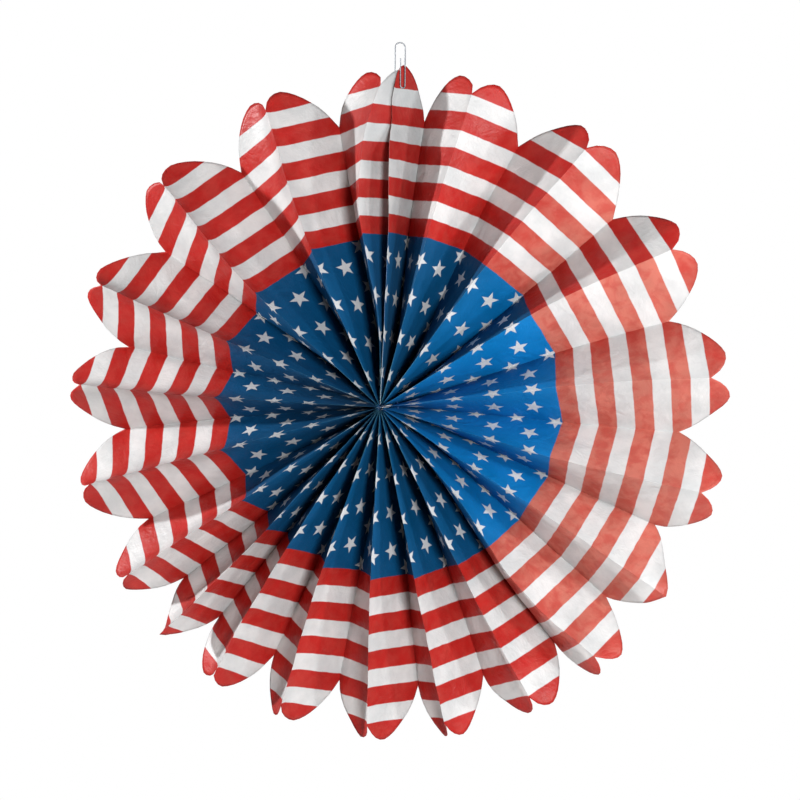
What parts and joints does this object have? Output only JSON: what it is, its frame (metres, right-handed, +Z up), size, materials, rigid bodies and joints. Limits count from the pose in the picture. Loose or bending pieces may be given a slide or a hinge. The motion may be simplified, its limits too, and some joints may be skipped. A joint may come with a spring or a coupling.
{
  "type": "paper fan rosette",
  "caption": "Round hanging decoration folded from one strip of striped and starred tissue paper, opened full circle and pinned at the top by a wire clip that it hangs from.",
  "frame": {"origin": "where a hook bears on the underside of the wire clip's upper loop", "axes": "+Z up as it hangs, -Y out of the printed face towards the viewer, +X to the viewer's right"},
  "size_m": [0.6346, 0.077, 0.66],
  "materials": {
    "printed_paper": "satin",
    "clip_wire": "satin",
    "thread": "matte"
  },
  "bodies": {
    "root": {"pleated_paper": "printed_paper", "hanging_clip": "clip_wire", "centre_thread": "thread"}
  },
  "joints": []
}
